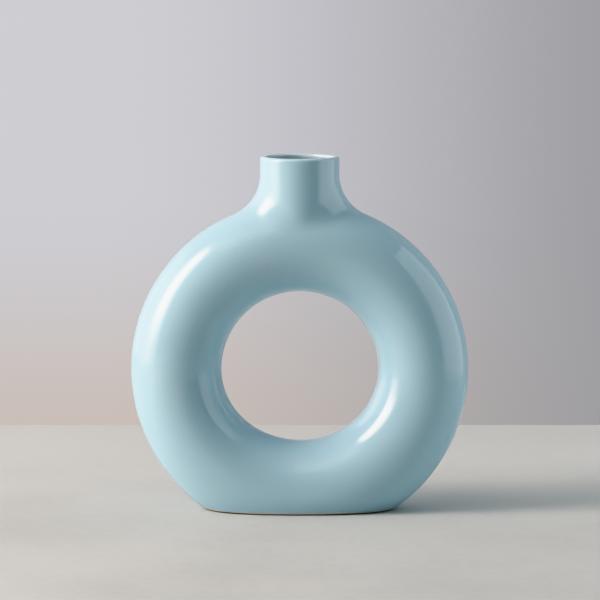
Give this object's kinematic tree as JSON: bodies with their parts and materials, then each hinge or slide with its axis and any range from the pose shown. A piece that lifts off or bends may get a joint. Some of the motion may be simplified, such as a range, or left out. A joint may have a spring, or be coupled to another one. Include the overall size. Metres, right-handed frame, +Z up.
{
  "type": "donut vase",
  "caption": "Ring-shaped stoneware vase with an open round middle, a short round neck, a straight mouth and a flat oval foot, glazed inside and out.",
  "frame": {"origin": "middle of the base, on the surface that the vase stands on", "axes": "+Z up, along the neck and out of the mouth; +Y through the ring's hole, from front to back; +X to the right seen from the front"},
  "size_m": [0.2008, 0.059, 0.2107],
  "materials": {
    "clay": "bare fired stoneware, matte",
    "slip": "fired clay slip, matte",
    "glaze": "glossy pale blue glaze",
    "liner": "glossy pale blue glaze"
  },
  "bodies": {
    "root": {"ring_front": "clay", "ring_back": "clay", "neck": "clay", "foot": "clay", "inner_seam_slip": "slip", "outer_seam_slip": "slip", "neck_slip": "slip", "foot_slip": "slip", "outer_glaze": "glaze", "liner_glaze": "liner"}
  },
  "joints": []
}
